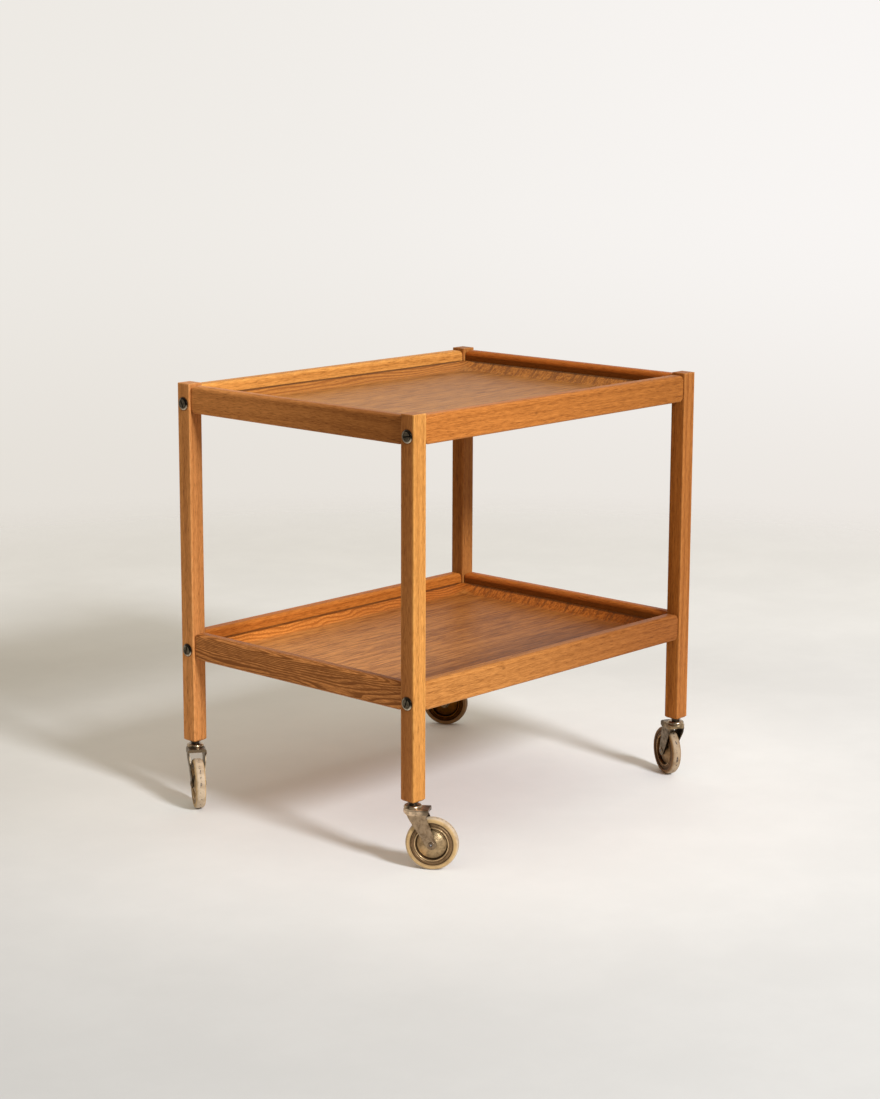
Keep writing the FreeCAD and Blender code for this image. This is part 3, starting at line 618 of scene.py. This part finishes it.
def roundLoop(points, radii, steps=6):
    # each corner p turns into an arc about p + (a + b) / |a + b| * r / sin(half), a and b being the ways to its
    # neighbours
    spots = np.array(points, float)
    radius = np.array(radii, float)[:, None]
    back = np.roll(spots, 1, 0) - spots
    on = np.roll(spots, -1, 0) - spots
    back /= np.linalg.norm(back, axis=1, keepdims=True)
    on /= np.linalg.norm(on, axis=1, keepdims=True)
    half = np.arccos(np.clip((back * on).sum(1, keepdims=True), -1.0, 1.0)) / 2
    middle = spots + (back + on) / np.linalg.norm(back + on, axis=1, keepdims=True) * radius / np.sin(half)
    start = spots + back * radius / np.tan(half) - middle
    end = spots + on * radius / np.tan(half) - middle
    turn = (np.pi - 2 * half)[:, None, :]
    part = np.linspace(0.0, 1.0, steps)[None, :, None]
    arc = (np.sin((1 - part) * turn) * start[:, None] + np.sin(part * turn) * end[:, None]) / np.sin(turn)
    return (middle[:, None] + arc).reshape(-1, 2)


def turned(loop, middle, axis, turns=120):
    # point(s, t) = middle + axis * h(s) + r(s) * (cos t * e1 + sin t * e2) round a closed profile (r, h)
    axis = np.array(axis, float)
    first = np.cross(axis, (0.0, 0.0, 1.0)) if abs(axis[2]) < 0.9 else np.array((1.0, 0.0, 0.0))
    second = np.cross(axis, first)
    turn = np.linspace(0.0, 2 * np.pi, turns, endpoint=False)
    spoke = np.cos(turn)[:, None] * first + np.sin(turn)[:, None] * second
    spots = np.array(middle) + loop[:, None, 1:] * axis + loop[:, None, :1] * spoke[None]
    here = np.arange(len(loop))[:, None] * turns + np.arange(turns)[None]
    nextRow = np.roll(here, -1, 0)
    faces = np.stack([here, np.roll(here, -1, 1), np.roll(nextRow, -1, 1), nextRow], -1).reshape(-1, 4)
    return spots.reshape(-1, 3), faces, np.repeat(loop[:, 0], turns)


def buildPiece(name, shapes, dirtAndShade=0.0):
    # joins (points, faces, reach) arrays into one smooth mesh; reach and the dirt with painted shade are kept as
    # attributes
    starts = np.cumsum([0] + [len(shape[0]) for shape in shapes])
    spots = np.concatenate([shape[0] for shape in shapes])
    faces = np.concatenate([shape[1] + start for shape, start in zip(shapes, starts)])
    mesh = bpy.data.meshes.new(name)
    mesh.from_pydata(spots, [], faces)
    reach = mesh.attributes.new("reach", "FLOAT", "POINT")
    reach.data.foreach_set("value", np.concatenate([shape[2] for shape in shapes]).astype(np.float32))
    mesh.attributes.new("dirtAndShade", "FLOAT", "POINT").data.foreach_set("value", np.full(len(spots), dirtAndShade, np.float32))
    mesh.polygons.foreach_set("use_smooth", np.ones(len(faces), bool))
    mesh.update()
    piece = bpy.data.objects.new(name, mesh)
    scene.collection.objects.link(piece)
    return piece


def standIn(piece, material, body, node):
    wear(material, piece)
    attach(piece, body)
    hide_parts(node)


tyreLook = {
    "profile": [(24.7, 5.2), (31.1, 5.2), (31.1, 7.5), (35.4, 7.5), (37.7, 4.6), (38.0, 0.0), (37.7, -4.6),
                (35.4, -7.5), (31.1, -7.5), (31.1, -5.2), (24.7, -5.2)],
    "rounds": [0.4, 0.3, 0.7, 2.2, 2.6, 8.0, 2.6, 2.2, 0.7, 0.3, 0.4],
    "rubber": (0.56, 0.368, 0.164), "tread": (0.59, 0.46, 0.315), "grime": (0.25, 0.15, 0.07),
    "chip": (0.06, 0.05, 0.055), "cloud": (90.0, 5.0, 0.65), "cloudRange": (0.4, 0.72), "cloudTone": 0.55,
    "seamDirt": (0.0335, 0.0312, 0.0, 0.7), "treadFrom": (0.0355, 0.0374), "chipScale": 260.0,
    "chipRange": (0.54, 0.62), "chipReach": (0.03785, 0.03798), "gloss": (0.3, 0.42), "depth": 0.0004, "relief": 0.4,
}
discLook = {
    "profile": [(6.1, 7.6), (8.0, 7.6), (20.6, 2.8), (23.3, 2.6), (23.4, 7.1), (24.7, 7.2), (25.3, 6.3), (26.3, 6.2),
                (26.8, 6.9), (28.2, 6.8), (28.8, 6.2), (31.0, 6.0), (31.0, 5.3), (24.6, 5.7), (24.5, 1.5),
                (20.4, 1.6), (8.0, 6.4), (6.1, 6.4)],
    "rounds": [0.3, 1.2, 0.6, 0.4, 0.4, 0.35, 0.3, 0.3, 0.3, 0.3, 0.3, 0.25, 0.25, 0.3, 0.3, 0.4, 1.0, 0.3],
    "cone": (0.53, 0.375, 0.205), "moat": (0.06, 0.036, 0.018), "bead": (0.74, 0.51, 0.27),
    "flange": (0.31, 0.195, 0.1), "edge": (0.05, 0.032, 0.018), "stain": (0.10, 0.066, 0.034), "stainTone": 0.55,
    "grain": 120.0, "stained": 0.8, "gloss": 0.3, "groove": 0.0005, "ripple": 0.4, "relief": 0.8,
    "zones": {"moat": (0.0203, 0.0218), "bead": (0.0231, 0.0235), "flange": (0.0246, 0.0253),
              "edge": (0.0296, 0.0306)},
}
wheelDirtAndShade = {  # dirt and painted shade of the tyre's side, its tread and the discs; the back right wheel is drawn darkest, as painted shade
    "front_left": (0.0, 0.0, 0.0), "front_right": (0.84, 0.44, 0.62), "back_left": (0.0, 0.0, 0.0),
    "back_right": (0.72, 0.72, 1.0),
}
dirtAndShadeTone = (0.28, 0.15, 0.03)


def soiledAndShaded(tree, colour):
    # darkens a colour by the piece's own dirt and painted shade
    dirtAndShade = put(tree, "Attribute", attribute_name="dirtAndShade").outputs["Fac"]
    return mixed(tree, dirtAndShade, colour, rgb(*dirtAndShadeTone), "MULTIPLY")


def rubberMaterial(look):
    material, tree, shader = newMaterial("tyre rubber", Specular_IOR_Level=0.3)
    place = put(tree, "TexCoord").outputs["Object"]
    reach = put(tree, "Attribute", attribute_name="reach").outputs["Fac"]
    cloud = noise(tree, place, *look["cloud"])
    grime = calc(tree, "MULTIPLY", spread(tree, cloud, *look["cloudRange"]), look["cloudTone"])
    grime = calc(tree, "MAXIMUM", grime, spread(tree, reach, *look["seamDirt"]))
    base = mixed(tree, spread(tree, reach, *look["treadFrom"]), rgb(*look["rubber"]), rgb(*look["tread"]))
    colour = mixed(tree, grime, base, rgb(*look["grime"]))
    chips = spread(tree, noise(tree, place, look["chipScale"], 3.0), *look["chipRange"])
    chips = calc(tree, "MULTIPLY", chips, spread(tree, reach, *look["chipReach"]))
    colour = soiledAndShaded(tree, mixed(tree, chips, colour, rgb(*look["chip"])))
    roughness = calc(tree, "MULTIPLY_ADD", cloud, *look["gloss"])
    height = calc(tree, "SUBTRACT", cloud, chips)
    connect(tree, shader, colour, roughness, height, look["depth"], look["relief"])
    return material


def discMaterial(look):
    # pressed zones by their distance from the axle: cone, moat, bead and flange; the moat is drawn dark as painted
    # shade, the bead bright as a painted highlight, and the edge by the tyre dark, partly dirt and partly painted
    # shade
    material, tree, shader = newMaterial("hub bronze", Metallic=1.0)
    place = put(tree, "TexCoord").outputs["Object"]
    reach = put(tree, "Attribute", attribute_name="reach").outputs["Fac"]
    zone = rgb(*look["cone"])
    for name, limits in look["zones"].items():
        zone = mixed(tree, spread(tree, reach, *limits), zone, rgb(*look[name]))
    stain = mixed(tree, look["stainTone"], zone, rgb(*look["stain"]))
    aged = agedCoat(tree, place, zone, stain, look)
    ripple = calc(tree, "SINE", calc(tree, "MULTIPLY", reach, 2 * math.pi / look["groove"]))  # the marks of spinning
    height = calc(tree, "MULTIPLY_ADD", ripple, look["ripple"], aged["Height"])
    connect(tree, shader, soiledAndShaded(tree, aged["Color"]), aged["Roughness"], height, metalDepth, look["relief"])
    return material


rubber = rubberMaterial(tyreLook)
bronze = discMaterial(discLook)
for corner in corners:
    roll = joints["roll_" + corner]
    body = "wheel_" + corner
    loop = roundLoop(tyreLook["profile"], tyreLook["rounds"]) / 1000
    shape = turned(loop, roll["pos_m"], roll["axis"])
    *sideAndTread, discDirtAndShade = wheelDirtAndShade[corner]
    tyre = buildPiece(corner + "_tyre", [shape], np.interp(shape[2], tyreLook["treadFrom"], sideAndTread))
    standIn(tyre, rubber, body, "castor_%s_tyre" % corner)
    loop = roundLoop(discLook["profile"], discLook["rounds"]) / 1000
    for side, sign in (("left", 1.0), ("right", -1.0)):
        shape = turned(loop, roll["pos_m"], np.array(roll["axis"]) * sign)
        disc = buildPiece("%s_disc_%s" % (corner, side), [shape], discDirtAndShade)
        standIn(disc, bronze, body, "castor_%s_hub_disc_%s" % (corner, side))
print("wheels turned")


# castor forks: a sheet formed over a plan that runs along each side and round the nose, and a lip across the back

forkLook = {
    "top": 89.5, "bend": 3.0, "sheet": 2.0, "nose": 13.6, "noseFloor": 84.0, "front": (-8.0, 81.5),
    "back": (20.4, 79.5), "lug": (24.0, 83.2), "ceiling": 95.0, "shoulder": (81.0, 79.5), "neck": 46.5,
    "axle": (27.5, 38.0), "endRadius": 7.2, "hole": 4.2, "lipTop": 88.6, "lipFloor": 84.6, "lipHalf": 12.6,
    "lipBack": 23.9, "flatRows": 6, "bendRows": 8, "columns": 49, "lipGrid": (25, 6), "weld": 0.00002,
    "softEdge": 0.0005, "softAngle": 50.0,
    "halfWidths": ((30.0, 10.7), (48.5, 10.75), (56.0, 11.3), (74.0, 13.2), (79.4, 13.4), (81.2, 14.2), (90.0, 14.2)),
}
axleLook = {
    "profile": [(0.0, 11.6), (1.4, 11.6), (1.8, 12.1), (2.9, 12.15), (4.6, 11.6), (4.6, 10.75), (3.0, 10.75),
                (3.0, -10.75), (4.6, -10.75), (4.6, -11.6), (2.9, -12.15), (1.8, -12.1), (1.4, -11.6), (0.0, -11.6)],
    "rounds": [0.0, 0.1, 0.15, 0.4, 0.3, 0.05, 0.1, 0.1, 0.05, 0.3, 0.4, 0.15, 0.1, 0.0],
    "middle": (0.42, 0.40, 0.40), "ring": (0.045, 0.03, 0.018), "rim": (0.30, 0.21, 0.13),
    "ringFrom": (0.0012, 0.0015), "rimFrom": (0.0019, 0.0026), "weld": 0.000001, "stainTone": 0.5, "grain": 300.0,
    "stained": 0.7, "gloss": 0.26, "relief": 0.3,
}


def gridFaces(rows, columns, flip=False):
    here = np.arange(rows * columns).reshape(rows, columns)
    faces = np.stack([here[:-1, :-1], here[1:, :-1], here[1:, 1:], here[:-1, 1:]], -1).reshape(-1, 4)
    return faces[:, ::-1] if flip else faces


def touch(spot, middle, radius, side):
    # where a line from a spot touches a circle
    away = np.array(spot) - np.array(middle)
    return math.atan2(away[1], away[0]) + side * math.acos(radius / np.hypot(*away))


def forkShapes(look, stem, ahead):
    # point(q, z): q >= 0 runs along the side, (q, k * half); q < 0 runs round the nose by the angle -q / nose
    axle, radius, top, bend, nose = np.array(look["axle"]), look["endRadius"], look["top"], look["bend"], look["nose"]
    frontTurn = touch(look["front"], axle, radius, 1) - 2 * np.pi
    backTurn = touch(look["back"], axle, radius, -1)
    frontArc = np.linspace(-np.pi / 2, frontTurn, 16)
    backArc = np.linspace(-np.pi / 2, backTurn, 16)
    frontZ = np.concatenate([axle[1] + radius * np.sin(frontArc),
                             [look["front"][1], look["noseFloor"], look["ceiling"]]])
    noseEnd = -nose * np.pi / 2
    frontQ = np.concatenate([axle[0] + radius * np.cos(frontArc), [look["front"][0], noseEnd, noseEnd]])
    backZ = np.concatenate([axle[1] + radius * np.sin(backArc), [look["back"][1], look["lug"][1], look["ceiling"]]])
    backQ = np.concatenate([axle[0] + radius * np.cos(backArc), [look["back"][0], look["lug"][0], look["lug"][0]]])
    widthZ, width = np.array(look["halfWidths"]).T
    flatRows, bendEnd = look["flatRows"], look["flatRows"] + look["bendRows"]
    angle = np.linspace(0.0, np.pi / 2, look["bendRows"])
    above, below = look["shoulder"]
    wall = np.concatenate([np.linspace(top - bend, above, 9)[1:], np.linspace(below, look["neck"], 18),
                           axle[1] + radius * np.sin(np.radians(np.linspace(82.0, -88.0, 20)))])
    flat = np.linspace(0.0, 1.0, flatRows, endpoint=False)
    z = np.concatenate([np.full(flatRows, top), top - bend * (1 - np.cos(angle)), wall])[:, None]
    half = np.interp(z, widthZ, width)
    part = np.linspace(0.0, 1.0, look["columns"])[None]
    q = np.interp(z, backZ, backQ) * (1 - part) + np.interp(z, frontZ, frontQ) * part
    inner = np.where(q < 0, look["hole"], np.sqrt(np.maximum(look["hole"] ** 2 - q ** 2, 0.0))) / half
    edge = 1 - bend / half
    k = np.ones_like(q)
    k[:flatRows] = inner[:flatRows] + (edge[:flatRows] - inner[:flatRows]) * flat[:, None]
    k[flatRows:bendEnd] = 1 - bend / half[flatRows:bendEnd] * (1 - np.sin(angle))[:, None]
    turn = np.maximum(-q, 0.0) / nose
    x = np.where(q < 0, -nose * k * np.sin(turn), q)
    y = half * k * np.cos(turn)
    x, y, z = (np.broadcast_to(one, q.shape).ravel() for one in (x, y, z))
    rows, columns = q.shape
    lipY, lipZ = np.meshgrid(np.linspace(-look["lipHalf"], look["lipHalf"], look["lipGrid"][0]),
                             np.linspace(look["lipTop"], look["lipFloor"], look["lipGrid"][1]))
    lip = np.stack([np.full(lipY.size, look["lipBack"]), lipY.ravel(), lipZ.ravel()], 1)
    local = [(np.stack([x, y, z], 1), gridFaces(rows, columns)),
             (np.stack([x, -y, z], 1), gridFaces(rows, columns, True)), (lip, gridFaces(*lipY.shape))]
    basis = np.array([[ahead[0], ahead[1], 0.0], [-ahead[1], ahead[0], 0.0], [0.0, 0.0, 1.0]])
    foot = np.array([stem[0], stem[1], 0.0])
    return [(points / 1000 @ basis + foot, faces, points[:, 0] / 1000) for points, faces in local]


def rivetMaterial(look):
    material, tree, shader = newMaterial("axle rivet", Metallic=1.0)
    place = put(tree, "TexCoord").outputs["Object"]
    reach = put(tree, "Attribute", attribute_name="reach").outputs["Fac"]
    zone = mixed(tree, spread(tree, reach, *look["ringFrom"]), rgb(*look["middle"]), rgb(*look["ring"]))
    zone = mixed(tree, spread(tree, reach, *look["rimFrom"]), zone, rgb(*look["rim"]))
    stain = mixed(tree, look["stainTone"], zone, rgb(*look["ring"]))
    aged = agedCoat(tree, place, zone, stain, look)
    connect(tree, shader, aged["Color"], aged["Roughness"], aged["Height"], metalDepth, look["relief"])
    return material


rivet = rivetMaterial(axleLook)
# fork platings: the front left is the bright copy with the painted crown highlight, the back left has lighter
# insides, the others are darker, partly grime and partly painted shade
forkPlate = {"front_left": "castor nickel", "front_right": "grimy shaded nickel", "back_left": "bare nickel",
             "back_right": "grimy shaded nickel"}
for corner in corners:
    stem, roll = (joints[name + corner]["pos_m"] for name in ("swivel_", "roll_"))
    ahead = np.array(roll[:2]) - np.array(stem[:2])
    ahead /= np.linalg.norm(ahead)
    shapes = forkShapes(forkLook, stem, ahead)
    fork = buildPiece(corner + "_fork", shapes)
    aside = np.array([-ahead[1], ahead[0], 0.0])  # points from one cheek to the other
    lipWay = np.append(ahead, 0.0)
    ways = np.repeat([aside, -aside, lipWay], [len(shape[0]) for shape in shapes], 0)
    outward = fork.data.attributes.new("outward", "FLOAT_VECTOR", "POINT")
    outward.data.foreach_set("vector", ways.astype(np.float32).ravel())
    fork.modifiers.new("join", "WELD").merge_threshold = forkLook["weld"]
    sheet = fork.modifiers.new("sheet", "SOLIDIFY")
    sheet.thickness, sheet.offset = forkLook["sheet"] / 1000, -1.0
    softer = fork.modifiers.new("soft edges", "BEVEL")
    softer.width, softer.segments = forkLook["softEdge"], 2
    softer.limit_method, softer.angle_limit = "ANGLE", math.radians(forkLook["softAngle"])
    standIn(fork, metal[forkPlate[corner]], "castor_" + corner, "castor_%s_fork" % corner)
    loop = roundLoop(axleLook["profile"], axleLook["rounds"], 4) / 1000
    pin = buildPiece(corner + "_axle", [turned(loop, roll, joints["roll_" + corner]["axis"], 48)])
    pin.modifiers.new("join", "WELD").merge_threshold = axleLook["weld"]
    standIn(pin, rivet, "castor_" + corner, "castor_%s_axle" % corner)
print("forks formed")


# collars under the bolt heads, turned with a soft rim

collarLook = {
    "profile": [(9.5, 0.0), (9.5, 1.0), (8.5, 1.85), (7.4, 1.85), (6.9, 1.45), (6.9, 1.0), (3.3, 1.0), (3.3, 0.0)],
    "rounds": [0.1, 0.6, 0.5, 0.3, 0.2, 0.1, 0.1, 0.1], "x": 0.316, "y": 0.228,
}
loop = roundLoop(collarLook["profile"], collarLook["rounds"]) / 1000
rings = [turned(loop, (end * collarLook["x"], side * collarLook["y"], height), (end, 0.0, 0.0), 64)
         for end in (-1, 1) for side in (-1, 1) for height in collarLevels]
standIn(buildPiece("collars", rings), metal["collar nickel"], "frame", "bolt_collars")
print("collars turned")
